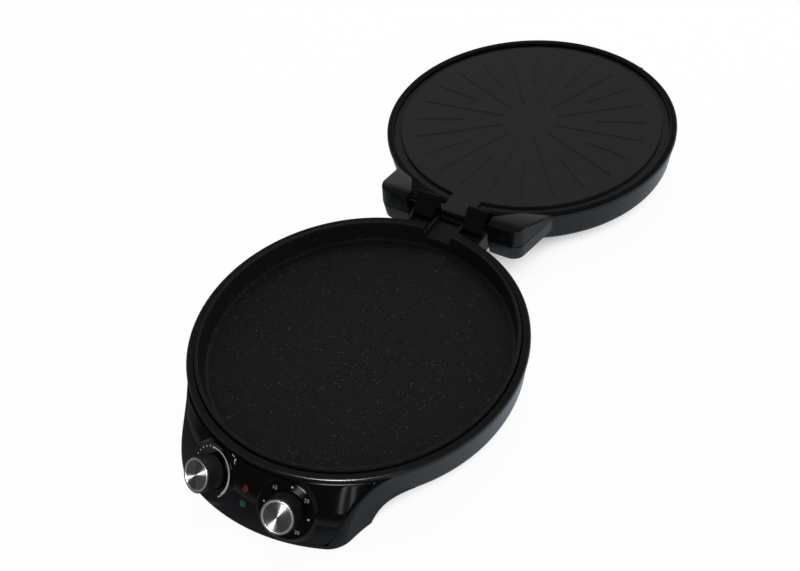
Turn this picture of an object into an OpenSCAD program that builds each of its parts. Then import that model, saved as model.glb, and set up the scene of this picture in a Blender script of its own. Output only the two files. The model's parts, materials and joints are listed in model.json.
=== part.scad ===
// Electric pizza maker, opened flat: a deep heated pan with a control console at its front,
// and a heated lid that turns over it on a hinge at the back.
// The origin is on the table, under the middle of the hinge. +X is right, +Y points at the
// opened lid and +Z is up. Base and lid are each drawn about their own centre with the rim at
// z = 0, the front at -Y and the hinge at +Y, and the lid is then turned round by 180 degrees.

/* [Overall] */
// Radius of the rim where base and lid meet
rim_r = 167; // [139:1:201]
// Height of the rim above the table
rim_z = 58; // [54:1:70]
// From the rim back to the hinge axis
hinge_gap = 17.5; // [17:0.5:21]
// Wall thickness of the moulded shells
shell_t = 3; // [2.5:0.25:3.75]

/* [Shells] */
// Height of the frame ring that caps each shell
frame_h = 5; // [4.25:0.25:6]
// Width of the frame ring
frame_w = 7.8; // [7:0.2:9.4]
// Depth of the side wall below the rim
wall_h = 32; // [27:1:34]
// How far the side wall leans in over its depth
wall_draft = 4; // [2:0.5:4.5]
// Gap between the underside of the base and the table
base_clear = 10; // [8:1:12]
// Gap between the top of the opened lid and the table
lid_clear = 6; // [5:1:8]
// Width of the rounded edge under the base
base_shoulder = 20; // [17:1:24]
// Width of the rounded edge of the lid
lid_shoulder = 27; // [22:1:32]
// How far the crown of the lid rises above its shoulder
lid_crown = 6; // [3:1:8]

/* [Plates] */
// Depth of the pan below the rim
pan_depth = 21; // [17.5:0.5:25]
// Thickness of the cast plates
plate_t = 4; // [3.5:0.25:4.75]
// How far the sealing rim of the pan stands up
pan_lip = 2.5; // [1:0.25:3]
// Width of the sealing rim of the pan
pan_rim_w = 3.6; // [3:0.2:4.4]
// Width of the channel that goes round the lid plate
channel_w = 8.9; // [7.4:0.1:10.4]
// Depth of the channel that goes round the lid plate
channel_depth = 5; // [4:0.25:6]
// Number of radial ridges on the lid plate
ridge_count = 24; // [12:2:30]
// Height of the radial ridges
ridge_h = 0.8; // [0.4:0.1:1.2]
// Width of the tongue of each plate
tongue_w = 34; // [28:1:34]

/* [Console] */
// How far the console reaches past the rim
console_reach = 34.7; // [32:0.1:40]
// Half the width of the console at its front edge
console_half_w = 88; // [80:1:100]
// Angle by which the console's sides draw in towards the front
side_angle = 15.3; // [12:0.1:18]
// Angle by which the console's sides lean out towards the rim
side_tilt = 5.6; // [2:0.1:7]
// Radius of the console's rounded front corners
corner_r = 10; // [4:1:12]
// Radius of the console's face, seen from the side
face_r = 100; // [92:1:120]
// Thickness of the control panel
panel_t = 2.5; // [2:0.25:3]
// Width of the shell's border round the panel
border_w = 3; // [2.5:0.25:4]

/* [Controls] */
// Distance between the middles of the two dials
dial_spacing = 83.8; // [76:0.2:92]
// From the top of the console's face down to the dials
dial_down = 29; // [28:0.5:30]
// How far each dial's middle lies below the face
dial_sink = 0.9; // [0.5:0.1:1.2]
// Radius of the flat dial round each knob
dial_r = 27.5; // [24:0.5:28]
// Radius of the knobs
knob_r = 17; // [14.5:0.5:19]
// Height of the knobs above their dial
knob_h = 19.4; // [16.2:0.2:22]
// Diameter of the control shafts
shaft_d = 6; // [5:0.5:7]
// From the top of the console's face down to the red lamp
red_down = 23; // [20:0.5:26]
// From the top of the console's face down to the green lamp
green_down = 37.8; // [35:0.1:42]
// Diameter of the lamps
lamp_d = 6.5; // [5.5:0.5:7.5]

/* [Hinge] */
// Diameter of the hinge pins
pin_d = 8; // [6.75:0.25:9]
// Height of the hinge axis above the rim
axis_h = 0.4; // [0.35:0.05:0.7]
// Inner face of the knuckles, from the middle
knuckle_x = 18; // [18:0.5:20]
// Width of each knuckle of the base
knuckle_w = 24.5; // [21:0.5:28]
// Height of the knuckles above the rim
knuckle_top = 16; // [13.5:0.5:16.5]
// Half the depth of the knuckles
knuckle_half = 10; // [8.5:0.5:11]
// Gap between the knuckles and the lugs of the lid
lug_gap = 6; // [3:0.5:8]
// Width of each lug of the lid at its front
lug_w = 30; // [26:1:34]
// How much wider the lugs get towards the lid
lug_flare = 14; // [8:1:18]
// Height of the lugs above the rim
lug_top = 17; // [14:0.5:18]
// Depth of the lugs below the rim
lug_depth = 27; // [23:1:29]
// Radius of the rounded outer corner of the lugs
lug_corner_r = 13; // [10:0.5:15]

/* [Handle] */
// Width of the handle
handle_w = 128; // [110:1:150]
// Thickness of the handle's grip, seen from above
grip_t = 17; // [14.5:0.5:18]
// Height of the handle's grip
grip_h = 26; // [22:1:29]

/* [Feet] */
// Height of the rubber feet
foot_h = 4; // [3.5:0.5:5]
// Diameter of the rubber feet
foot_d = 18; // [15:0.5:21]

/* [Hidden] */
$fn = 96;

// Clearances: loose parts side by side, a part that turns, and a part that is held
gap = 0.3;
run_gap = 0.05;
fit_gap = 0.02;
eps = 0.01;
big = 600;

// Levels below the rim
base_depth = rim_z - base_clear;
lid_depth = rim_z - lid_clear;
console_depth = rim_z - foot_h;
lid_plate_top = 0.5;

// Radii from the rim inwards
hinge_y = rim_r + hinge_gap;
wall_top_r = rim_r - 0.5;
wall_low_r = wall_top_r - wall_draft;
frame_in_r = rim_r - frame_w;
skirt_h = 7;
skirt_out_r = wall_top_r - shell_t - wall_draft * skirt_h / (wall_h - frame_h) - gap;
skirt_t = 2;
pan_edge_r = frame_in_r - 0.9;
pan_in_r = pan_edge_r - pan_rim_w;
pan_floor_r = pan_in_r - 2;
pan_under = pan_depth + plate_t;
plate_r = frame_in_r - channel_w;
plate_under = lid_plate_top + plate_t;
channel_under = channel_depth + plate_t + 0.5;
plate_screw_ring = plate_r + 4.5;

// Tongue of the pan, a trough behind its rim
pan_tongue_under = 12;
pan_tongue_top = 8.5;
pan_tongue_lip = 3;
tongue_edge = 3;

// Bottom of the base, from its rounded edge inwards
base_flat_r = wall_low_r - base_shoulder;
leg_r = foot_d / 2 + 2;
leg_ring = base_flat_r - 3;
post_r = 5.5;
post_ring = base_flat_r - 10.5;
cover_r = post_ring - post_r - 4;
cover_t = 1.5;
cover_ledge = 8;
cover_screw_ring = cover_r - 4;
boss_h = 8;
counterbore = 7;

// Face of the console: an arc through its top and bottom edges
face_top = [rim_r + 0.4, -3];
face_low = [rim_r + console_reach, -console_depth];
face_chord = face_low - face_top;
face_len = norm(face_chord);
face_c = (face_top + face_low) / 2
    + sqrt(face_r * face_r - face_len * face_len / 4) * [face_chord.y, -face_chord.x] / face_len;
face_a0 = atan2(face_top.y - face_c.y, face_top.x - face_c.x);
face_a1 = atan2(face_low.y - face_c.y, face_low.x - face_c.x);
face_mid = (face_a0 + face_a1) / 2;
face_arc_len = (face_a0 - face_a1) * PI / 180 * face_r;
border_drop = 0.5;
panel_from = 2.2;
panel_to = face_arc_len - border_w;
panel_seat = panel_t + 0.1;
console_back = rim_r - 30;
corner_y = -sqrt(pow(face_low.x, 2) - pow(console_half_w, 2));
side_dist = console_half_w * cos(side_angle) - corner_y * sin(side_angle);

// Controls, measured along the axis of a dial from its surface
dial_angle = asin(dial_spacing / 2 / face_point(dial_down, dial_sink).x);
dial_tilt = 2;
dial_slope = 0.6;
mount_back = -panel_seat - shell_t - 1.4;
mech_r = 13;
mech_len = 13;
bush_r = 5;
cap_t = 1.4;
cap_r = knob_r - 1.5;
knob_lift = 0.8;
knob_bore_top = knob_h - cap_t - 3;
shaft_in = 6;
lens_back = -panel_seat - shell_t - 2;
lens_dome = 1.5;
bulb_len = 10;

// Angles round each housing, counted from its front, at which things are fixed
pan_screw_at = [60, 120, 240, 300];
cover_screw_at = [30, 90, 150, 210, 270, 330];
plate_screw_at = [30, 90, 150, 210, 270, 330];
leg_at = 140;
gland_at = 220;
terminal_at = 200;

// Screws
small_screw_r = 1.5;
screw_r = 2;
head_r = 3.5;

// Heating elements and the dishes under them
element_d = 6.6;
element_r = 0.56 * rim_r;
element_end = 12;
element_pin_d = 4;
dish_r = element_r + 24;
dish_depth = 12;
dish_t = 0.8;

// Cord gland, in a flat pad at the back of the wall
gland_y = wall_low_r + 1.5;
gland_z = -pan_under - 8;
gland_wall = 8;
gland_r = 5.5;
gland_nut_r = 7.5;

// Hinge, from the middle outwards
knuckle_out = knuckle_x + knuckle_w;
lug_x = knuckle_out + lug_gap;
lug_out = lug_x + lug_w;
lug_far = lug_out + lug_flare;
pin_from = knuckle_x + 2;
lug_screw = [lug_x + 14, 15];

// Handle on the lid, which reaches as far as the console does
grip_out = face_low.x;
grip_in = grip_out - grip_t;
grip_angle = asin((handle_w / 2) / grip_out);
arm_w = 18;
arm_x = handle_w / 2 - arm_w - 2;
pad_y = sqrt(pow(wall_low_r - shell_t, 2) - pow(arm_x + arm_w, 2)) - 1;
handle_screw_z = -22;

// Points on an arc about c
function arc(c, r, a0, a1, n = 12) =
    [for (i = [0:n]) c + r * [cos(a0 + (a1 - a0) * i / n), sin(a0 + (a1 - a0) * i / n)]];

// Points of the rounded corner at b, between its neighbours a and c
function fillet(a, b, c, r, n) =
    let(
        u = (a - b) / norm(a - b),
        v = (c - b) / norm(c - b),
        half = acos(u * v) / 2,
        m = b + (u + v) / norm(u + v) * r / sin(half),
        p = b + u * r / tan(half) - m,
        q = b + v * r / tan(half) - m,
        ap = atan2(p.y, p.x),
        turn = atan2(q.y, q.x) - ap
    )
    arc(m, r, ap, ap + turn - 360 * round(turn / 360), n);

// An outline whose corners are rounded by the radii in the list r
function rounded(p, r, n = 6) =
    let(k = len(p))
    [for (i = [0:k - 1])
        each r[i] == 0 ? [p[i]] : fillet(p[(i + k - 1) % k], p[i], p[(i + 1) % k], r[i], n)];

// Angle on the console's face at a distance down from its top edge
function face_at(down) = face_a0 - down / face_r * 180 / PI;

// Point of the console's face, as radius and height
function face_point(down, depth = 0) =
    face_c + (face_r - depth) * [cos(face_at(down)), sin(face_at(down))];

// Radius of the console's face at height z, for a face of radius r
function face_radius(z, r) = face_c.x + sqrt(r * r - pow(z - face_c.y, 2));

// Distance from the hinge axis to a circle of radius r about the lid's centre, at x
function rim_y(x, r = rim_r) = hinge_y - sqrt(r * r - x * x);

// Outline of a housing from its frame down to the middle, moved in by t, and open at the top
// where it is moved in
function housing_outline(depth, shoulder, crown, t, n = 12) = concat(
    t > 0 ? [[0, 1 - frame_h], [wall_top_r - t, 1 - frame_h]] : [[0, -frame_h]],
    [[wall_top_r - t, -frame_h]],
    [for (i = [0:n]) [
        wall_low_r - shoulder + (shoulder - t) * cos(i * 90 / n),
        -wall_h - (depth - crown - wall_h - t) * sin(i * 90 / n)
    ]],
    crown == 0 ? [[0, -depth + t]] : [for (i = [5:-1:0]) [
        (wall_low_r - shoulder) * i / 6,
        -depth + t + crown * pow(i / 6, 2)
    ]]
);

module at_base() translate([0, -hinge_y, rim_z]) children();

module at_lid() translate([0, hinge_y, rim_z]) rotate([0, 0, 180]) children();

// At the hinge, with z = 0 at the rim
module at_hinge() translate([0, 0, rim_z]) children();

// Turned about Z so that what is drawn at the front lies at each angle
module each_angle(angles) for (a = angles) rotate([0, 0, a]) children();

module both_sides() {
    children();
    mirror([1, 0, 0]) children();
}

// On the console's face, with Z out of it and Y up the slope
module at_face(angle, down, depth = 0, tilt = 0) {
    p = face_point(down, depth);
    rotate([0, 0, angle])
        translate([0, -p.x, p.y])
            rotate([90 - face_at(down) - tilt, 0, 0])
                children();
}

module at_timer() at_face(dial_angle, dial_down, dial_sink, dial_tilt) children();

module at_thermostat() at_face(-dial_angle, dial_down, dial_sink, dial_tilt) children();

module at_dials() {
    at_timer() children();
    at_thermostat() children();
}

module at_lamps() {
    at_face(0, red_down) children();
    at_face(0, green_down) children();
}

// A profile in Y and Z, drawn from x to x + w
module along_x(x, w) translate([x, 0, 0]) rotate([90, 0, 90]) linear_extrude(w) children();

// A cylinder along X, from x0 to x1
module rod_x(r, x0, x1) translate([x0, 0, 0]) rotate([0, 90, 0]) cylinder(r = r, h = x1 - x0);

// The convex solid whose corners are the points
module solid_of(points) hull() polyhedron(points, [[for (i = [0:len(points) - 1]) i]]);

// A screw that points up, with the underside of its head at z = 0
module screw(r, length, head = head_r, thick = 2.4) {
    cylinder(r = r, h = length);
    translate([0, 0, -thick]) cylinder(r1 = head * 0.8, r2 = head, h = thick);
}

// Space between the console's two side planes, moved in by t
module between_sides(t = 0) intersection_for(s = [0, 1]) mirror([s, 0, 0])
    translate([console_half_w, corner_y, -console_depth])
        rotate([0, side_tilt, -side_angle])
            translate([-big - t, -big / 2, -big / 2])
                cube(big);

// Everything behind a face of radius r, from z = low to z = top, as a half turn at the front
module face_solid(r, low, top, inner) rotate([0, 0, 180])
    rotate_extrude(angle = 180)
        polygon(concat(
            [[inner, low], [inner, top]],
            [for (i = [0:12]) let(z = top + (low - top) * i / 12) [face_radius(z, r), z]]
        ));

// A band of the console's face between two face radii, from down0 to down1
module face_band(r0, r1, down0, down1) rotate([0, 0, 180])
    rotate_extrude(angle = 180)
        polygon(concat(
            arc(face_c, r1, face_at(down0), face_at(down1), 16),
            arc(face_c, r0, face_at(down1), face_at(down0), 16)
        ));

// Half of the console's plan at height z, from its back to its middle
function console_half(z) =
    let(
        r = face_radius(z, face_r - border_drop),
        s = side_dist + (z + console_depth) * tan(side_tilt),
        out = [cos(side_angle), -sin(side_angle)],
        back = [sin(side_angle), cos(side_angle)],
        c = (s - corner_r) * out - sqrt(pow(r - corner_r, 2) - pow(s - corner_r, 2)) * back,
        a = atan2(c.y, c.x)
    )
    concat(
        [s * out + (s * sin(side_angle) - console_back) / cos(side_angle) * back],
        arc(c, corner_r, -side_angle, a, 5),
        arc([0, 0], r, a, -90, 12)
    );

// Solid of the console, a stack of plans
module console_block() hull()
    for (i = [0:8]) let(
        t = i == 0 || i == 8 ? 0.4 : eps,
        z = -console_depth + (console_depth - frame_h - t) * i / 8,
        half = console_half(z)
    )
        translate([0, 0, z])
            linear_extrude(t)
                polygon(concat(half, [for (k = [len(half) - 2:-1:0]) [-half[k].x, half[k].y]]));

// Hollow of the console, behind the wall that carries the panel
module console_room() intersection() {
    face_solid(face_r - panel_seat - shell_t, -console_depth + shell_t, -frame_h - shell_t, 90);
    between_sides(shell_t);
    translate([-big / 2, -big - console_back - shell_t, -big / 2]) cube(big);
}

// Outline of the panel, seen along the middle of the face, moved in by t: its lower edge runs
// along the front edge of the console and its sides along the side edges
module panel_prism(t) {
    low = face_point(panel_to - t);
    low_x = console_half_w - border_w - t;
    side = asin(low_x / low.x);
    n = 14;
    edge = [for (i = [0:n]) let(a = side * (2 * i / n - 1))
        [low.x * sin(a), low.y * cos(face_mid) - low.x * cos(a) * sin(face_mid)]];
    rotate([90 - face_mid, 0, 0])
        linear_extrude(big)
            polygon(rounded(
                concat(edge, [edge[n] + [25, 90], edge[0] + [-25, 90]]),
                [for (i = [0:n + 2]) i == 0 || i == n ? 7 : 0]
            ));
}

// Block behind the base, with the knuckles that carry the lid
module hinge_block() {
    along_x(-knuckle_out, 2 * knuckle_out)
        translate([hinge_y, 0])
            polygon([
                [-36, -frame_h], [knuckle_half, -frame_h], [knuckle_half, -lug_depth],
                [knuckle_half - 5, -wall_h + 2], [-36, -wall_h + 2]
            ]);
    both_sides() along_x(knuckle_x, knuckle_w) translate([hinge_y, 0]) polygon(rounded(
        [
            [knuckle_half, -frame_h - 1], [knuckle_half, knuckle_top],
            [knuckle_half - 5, knuckle_top], [-knuckle_half, -1], [-knuckle_half, -frame_h - 1]
        ],
        [0, 2, 2, 2, 0]
    ));
}

module hinge_block_room() along_x(-knuckle_out + shell_t, 2 * (knuckle_out - shell_t))
    translate([hinge_y, 0])
        polygon([
            [-40, -frame_h - 10.5], [knuckle_half - shell_t, -frame_h - 10.5],
            [knuckle_half - shell_t, -lug_depth + 1], [knuckle_half - 7, -wall_h + 2 + shell_t],
            [-40, -wall_h + 2 + shell_t]
        ]);

// Space that the pan's tongue needs behind the base
module tongue_room() translate([-tongue_w / 2 - gap, pan_in_r - 12, -pan_tongue_under - gap])
    cube([tongue_w + 2 * gap, hinge_y - 2 + gap - pan_in_r + 12, big]);

module at_gland() rotate([0, 0, gland_at]) translate([0, -gland_y, gland_z])
    rotate([90, 0, 0]) children();

// Base shell without its holes: tub, console, hinge block, legs, posts and pads
module base_body() {
    difference() {
        union() {
            rotate_extrude() polygon(housing_outline(base_depth, base_shoulder, 0, 0));
            console_block();
            hinge_block();
            both_sides() rotate([0, 0, leg_at])
                translate([0, -leg_ring, -console_depth])
                    cylinder(r = leg_r, h = console_depth - base_depth + 2);
        }
        rotate_extrude() polygon(housing_outline(base_depth, base_shoulder, 0, shell_t));
        console_room();
        hinge_block_room();
    }
    at_dials() translate([0, 0, mount_back]) cylinder(r = mech_r + 1, h = 3.4);
    each_angle(pan_screw_at) translate([0, -post_ring, -base_depth + 1])
        cylinder(r = post_r, h = base_depth - 1 - pan_under - boss_h);
    each_angle(cover_screw_at) translate([0, -cover_screw_ring, -base_depth + cover_t])
        cylinder(r = 3.4, h = boss_h);
    at_gland() translate([-10, -9, -gland_wall]) cube([20, 18, gland_wall]);
}

module base_shell() color([0.07, 0.07, 0.08]) at_base() difference() {
    base_body();
    intersection() {
        face_band(face_r - panel_seat, face_r + 10, panel_from - gap, face_arc_len + 2);
        panel_prism(-gap);
    }
    at_dials() translate([0, 0, mount_back - 1]) cylinder(r = bush_r + gap, h = 20);
    at_lamps() translate([0, 0, lens_back - 1]) cylinder(d = lamp_d + gap, h = 20);
    tongue_room();
    translate([0, hinge_y, axis_h]) both_sides()
        rod_x(pin_d / 2 + run_gap, pin_from - gap, knuckle_out + 1);
    translate([0, 0, -base_depth - 1]) cylinder(r = cover_r - cover_ledge, h = shell_t + 1.5);
    translate([0, 0, -base_depth - 1]) cylinder(r = cover_r + gap, h = cover_t + 1);
    each_angle(cover_screw_at) translate([0, -cover_screw_ring, -base_depth])
        cylinder(r = small_screw_r + fit_gap, h = 7);
    each_angle(pan_screw_at) translate([0, -post_ring, -base_depth - 1]) {
        cylinder(r = head_r + gap, h = counterbore + 1);
        cylinder(r = screw_r + gap, h = base_depth);
    }
    at_gland() translate([0, 0, -gland_wall - 1]) cylinder(r = gland_r + fit_gap, h = gland_wall + 9);
}

// Frame ring that caps a shell, with a skirt inside the shell's wall
module frame_ring() rotate_extrude() polygon(rounded(
    [
        [skirt_out_r - skirt_t, -frame_h - skirt_h], [skirt_out_r - skirt_t, -frame_h],
        [frame_in_r, -frame_h], [frame_in_r, 0], [rim_r, 0], [rim_r, -frame_h],
        [skirt_out_r, -frame_h], [skirt_out_r, -frame_h - skirt_h]
    ],
    [0, 0, 0, 1.6, 2.4, 0, 0, 0]
));

module base_frame() color([0.09, 0.09, 0.1]) at_base() difference() {
    frame_ring();
    tongue_room();
}

module base_cover() color([0.35, 0.36, 0.38]) at_base() difference() {
    translate([0, 0, -base_depth]) cylinder(r = cover_r, h = cover_t);
    each_angle(cover_screw_at) translate([0, -cover_screw_ring, -base_depth - 1])
        cylinder(r = small_screw_r + gap, h = cover_t + 2);
    for (row = [-5:5], side = [-1, 1])
        translate([side * 42 - 26, row * 12 - 2, -base_depth - 1])
            cube([52, 4, cover_t + 2]);
}

module lower_plate() color([0.12, 0.12, 0.13]) at_base() difference() {
    union() {
        rotate_extrude() polygon(rounded(
            [
                [0, -pan_depth], [pan_floor_r, -pan_depth], [pan_in_r, pan_lip],
                [pan_edge_r, pan_lip], [pan_edge_r - 1.4, -pan_under], [0, -pan_under]
            ],
            [0, 4, 1.2, 1.2, 3, 0]
        ));
        translate([-tongue_w / 2, pan_in_r - 1, -pan_tongue_under])
            cube([tongue_w, hinge_y - 2 - pan_in_r + 1, pan_tongue_under - pan_tongue_lip]);
        each_angle(pan_screw_at) translate([0, -post_ring, -pan_under - boss_h])
            cylinder(r = post_r - 0.5, h = boss_h + 1);
    }
    translate([-tongue_w / 2 - gap, pan_in_r - 12, -pan_tongue_lip])
        cube([tongue_w + 2 * gap, big, big]);
    translate([-tongue_w / 2 + tongue_edge, pan_in_r - 12, -pan_tongue_top])
        cube([tongue_w - 2 * tongue_edge, big, big]);
    each_angle(pan_screw_at) translate([0, -post_ring, -pan_under - boss_h - 1])
        cylinder(r = screw_r + fit_gap, h = boss_h);
}

// Open ring of tube, with a bead at each end and a pin that leads towards the front
module element_ring(level) translate([0, 0, level - gap - element_d / 2]) {
    half_gap = asin(element_end / element_r);
    rotate([0, 0, -90 + half_gap]) rotate_extrude(angle = 360 - 2 * half_gap)
        translate([element_r, 0]) circle(d = element_d);
    both_sides() translate([element_end, -element_r * cos(half_gap), 0]) {
        cylinder(d = element_d + 2, h = element_d - 1, center = true);
        rotate([90, 0, 0]) cylinder(d = element_pin_d, h = 18);
    }
}

// Sheet dish that hangs under a plate round its element, open for the element's pins
module element_dish(level) difference() {
    translate([0, 0, level]) rotate_extrude() polygon([
        [dish_r, 0], [dish_r, -dish_t], [dish_r - 6, -dish_t], [dish_r - 9, -dish_depth],
        [0, -dish_depth], [0, -dish_depth + dish_t], [dish_r - 9.7, -dish_depth + dish_t],
        [dish_r - 6.7, 0]
    ]);
    both_sides() translate([element_end, 0, level - gap - element_d / 2]) rotate([90, 0, 0])
        cylinder(d = element_pin_d + 2 * gap, h = big / 2);
}

module lower_element() color([0.45, 0.43, 0.4]) at_base() element_ring(-pan_under);

module lower_reflector() color([0.7, 0.7, 0.72]) at_base() element_dish(-pan_under);

// A dial's cone, whose flank slopes down into the panel and is cut flat at z = 0
module dial_disc() translate([0, 0, -8])
    cylinder(r1 = dial_r + 8 * dial_slope, r2 = dial_r - dial_slope, h = 9);

module control_panel() color([0.05, 0.05, 0.06]) at_base() difference() {
    intersection() {
        face_band(face_r - panel_t, face_r + 8, panel_from, face_arc_len);
        union() {
            face_band(face_r - 10, face_r, panel_from - 2, face_arc_len + 2);
            at_dials() dial_disc();
        }
        panel_prism(0);
    }
    at_dials() cylinder(r = dial_r + 0.4, h = 20);
    at_dials() translate([0, 0, mount_back]) cylinder(r = bush_r + gap, h = 20);
    at_lamps() translate([0, 0, lens_back]) cylinder(d = lamp_d + gap, h = 20);
}

// Body behind a dial, with a bush that carries the shaft, and terminals at x
module control_body(terminals) difference() {
    union() {
        translate([0, 0, mount_back - mech_len]) cylinder(r = mech_r, h = mech_len);
        translate([0, 0, mount_back - 1]) cylinder(r = bush_r, h = -mount_back + 1 - 0.4);
        for (x = terminals) translate([x - 1, -3, mount_back - mech_len - 3]) cube([2, 6, 4]);
    }
    translate([0, 0, mount_back - shaft_in]) cylinder(d = shaft_d + 2 * run_gap, h = 20);
}

module timer_mechanism() color([0.75, 0.75, 0.7]) at_base() at_timer() control_body([-6, 0, 6]);

module thermostat() color([0.8, 0.78, 0.72]) at_base() at_thermostat() control_body([-5, 5]);

// Lens of a lamp: a short light pipe with a domed end
module lens() rotate_extrude() polygon(concat(
    [[0, lens_back], [lamp_d / 2, lens_back]],
    [for (i = [0:6]) [lamp_d / 2 * cos(i * 15), 0.4 + lens_dome * sin(i * 15)]]
));

module red_lens() color([0.7, 0.12, 0.15]) at_base() at_face(0, red_down) lens();

module green_lens() color([0.12, 0.55, 0.45]) at_base() at_face(0, green_down) lens();

module indicator_bulbs() color([0.85, 0.8, 0.7]) at_base() at_lamps()
    translate([0, 0, lens_back - bulb_len]) cylinder(d = lamp_d - 1.5, h = bulb_len, $fn = 32);

module terminal_block() color([0.88, 0.88, 0.85]) at_base() rotate([0, 0, terminal_at])
    translate([-18, -base_flat_r + 2, -base_depth + shell_t]) difference() {
        cube([36, 14, 11]);
        for (x = [6:12:30], y = [3.5, 10.5]) translate([x, y, 5]) cylinder(r = 2.2, h = 7, $fn = 24);
    }

module thermal_fuse() color([0.8, 0.78, 0.7]) at_base() translate([30, 30, -pan_under - 2.8]) {
    rod_x(2.5, -10, 10);
    translate([-3, -6, 0.8]) cube([6, 12, 2]);
}

module cord_gland() color([0.1, 0.1, 0.1]) at_base() at_gland() difference() {
    union() {
        cylinder(r1 = gland_r + 3, r2 = gland_r + 2, h = 3);
        translate([0, 0, -gland_wall - 3]) cylinder(r = gland_r, h = gland_wall + 4);
        translate([0, 0, -gland_wall - 3]) cylinder(r = gland_nut_r, h = 3, $fn = 6);
    }
    translate([0, 0, -gland_wall - 4]) cylinder(r = gland_r - 2, h = gland_wall + 9);
}

module foot() translate([0, 0, -rim_z]) cylinder(d1 = foot_d - 1.6, d2 = foot_d, h = foot_h);

module front_feet() color([0.15, 0.15, 0.15]) at_base() both_sides()
    translate([console_half_w - 10, -console_back - 23, 0]) foot();

module rear_feet() color([0.15, 0.15, 0.15]) at_base() both_sides()
    rotate([0, 0, leg_at]) translate([0, -leg_ring, 0]) foot();

module cover_screws() color([0.6, 0.6, 0.62]) at_base() each_angle(cover_screw_at)
    translate([0, -cover_screw_ring, -base_depth]) screw(small_screw_r, 6.5, 2.8, 1.6);

module pan_screws() color([0.6, 0.6, 0.62]) at_base() each_angle(pan_screw_at)
    translate([0, -post_ring, -base_depth + counterbore])
        screw(screw_r, base_depth - counterbore - pan_under - 3);

// Outline of a lug at height z, moved in by t, with its back corners a distance b past the rim
function lug_outline(z, t, b) = [for (p = rounded(
    [
        [lug_x + t, rim_y(lug_x) + b], [lug_x + t, -knuckle_half + t],
        [lug_out + 6 - t, -knuckle_half + t], [lug_far + 3.9 - t, rim_y(lug_far + 3.9) + b]
    ],
    [0, 0, lug_corner_r, 0], 6
)) [p.x, p.y, z]];

// Upper half of a lug of the lid, above the seam: a roof that slopes from its ridge to the lid
module upper_lug() {
    ridge_y = 3;
    slope = (lug_top - 0.8) / (rim_y(lug_far) - ridge_y);
    back_x = (lug_x + lug_far) / 2;
    back_y = rim_y(back_x) + 2;
    solid_of(concat(
        [for (p = lug_outline(-frame_h, 0.6, 2)) if (p.x > lug_x + 1 || p.y < 0) p],
        [for (p = lug_outline(-frame_h + 0.8, 0, 2)) if (p.x > lug_x || p.y < 0) p],
        [for (p = lug_outline(lug_top - 1.5, 0.8, 2)) if (p.y < ridge_y) p],
        [
            [lug_x + 1, ridge_y, lug_top], [lug_out + 7, ridge_y, lug_top],
            [back_x, back_y, lug_top - slope * (back_y - ridge_y)], [back_x, back_y, -frame_h],
            [lug_far + 1, rim_y(lug_far) + 2, 0.8]
        ]
    ));
    translate([lug_x + 2, ridge_y, -frame_h]) cube([back_x - lug_x - 3, back_y - 5, frame_h - 0.4]);
}

// Lower half of a lug, which runs into the lid's wall
module lower_lug() solid_of(concat(
    lug_outline(-frame_h, 0.6, 4), lug_outline(-frame_h - 0.8, 0, 4),
    lug_outline(-lug_depth + 4, 1.5, 6), lug_outline(-lug_depth, 4.5, 8)
));

module lid_shell() color([0.07, 0.07, 0.08]) difference() {
    union() {
        difference() {
            union() {
                at_lid() rotate_extrude() polygon(housing_outline(lid_depth, lid_shoulder, lid_crown, 0));
                at_hinge() both_sides() lower_lug();
            }
            at_lid() rotate_extrude()
                polygon(housing_outline(lid_depth, lid_shoulder, lid_crown, shell_t));
        }
        at_lid() both_sides()
            translate([arm_x + 4, -pad_y - 6, handle_screw_z - 5]) cube([arm_w - 8, 6, 10]);
    }
    at_hinge() both_sides() translate([lug_screw.x, lug_screw.y, -lug_depth - 1]) {
        cylinder(r = head_r + gap, h = 6);
        cylinder(r = screw_r + gap, h = lug_depth);
    }
    at_lid() both_sides() translate([arm_x + arm_w / 2, -pad_y + 1, handle_screw_z]) rotate([90, 0, 0])
        cylinder(r = screw_r + gap, h = 40);
}

module lid_frame() color([0.09, 0.09, 0.1]) difference() {
    union() {
        at_lid() frame_ring();
        at_lid() rotate_extrude() translate([plate_r + 1, -channel_under - 2.5])
            square([skirt_out_r - plate_r - 1, 2.5]);
        difference() {
            at_hinge() both_sides() upper_lug();
            at_lid() cylinder(r = rim_r + 1, h = big);
            at_lid() translate([0, 0, -frame_h - 1]) cylinder(r = rim_r - 3, h = frame_h + 2);
        }
    }
    at_lid() translate([-tongue_w / 2 - gap, plate_r, -channel_depth + 0.2])
        cube([tongue_w + 2 * gap, big, big]);
    at_hinge() translate([0, 0, axis_h]) both_sides()
        rod_x(pin_d / 2 + fit_gap, lug_x - 1, lug_out - 1.5);
    at_hinge() both_sides() translate([lug_screw.x, lug_screw.y, -frame_h - 1])
        cylinder(r = screw_r + fit_gap, h = 7);
    at_lid() each_angle(plate_screw_at) translate([0, -plate_screw_ring, -channel_under - 4])
        cylinder(r = small_screw_r + gap, h = 6);
}

// One ridge of the lid plate, from radius r0 to r1
module ridge(r0, r1) rotate([90, 0, 0]) translate([0, 0, r0]) linear_extrude(r1 - r0)
    polygon([
        [-1.4, -lid_plate_top - 0.5], [1.4, -lid_plate_top - 0.5],
        [0.5, -lid_plate_top + ridge_h], [-0.5, -lid_plate_top + ridge_h]
    ]);

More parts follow.
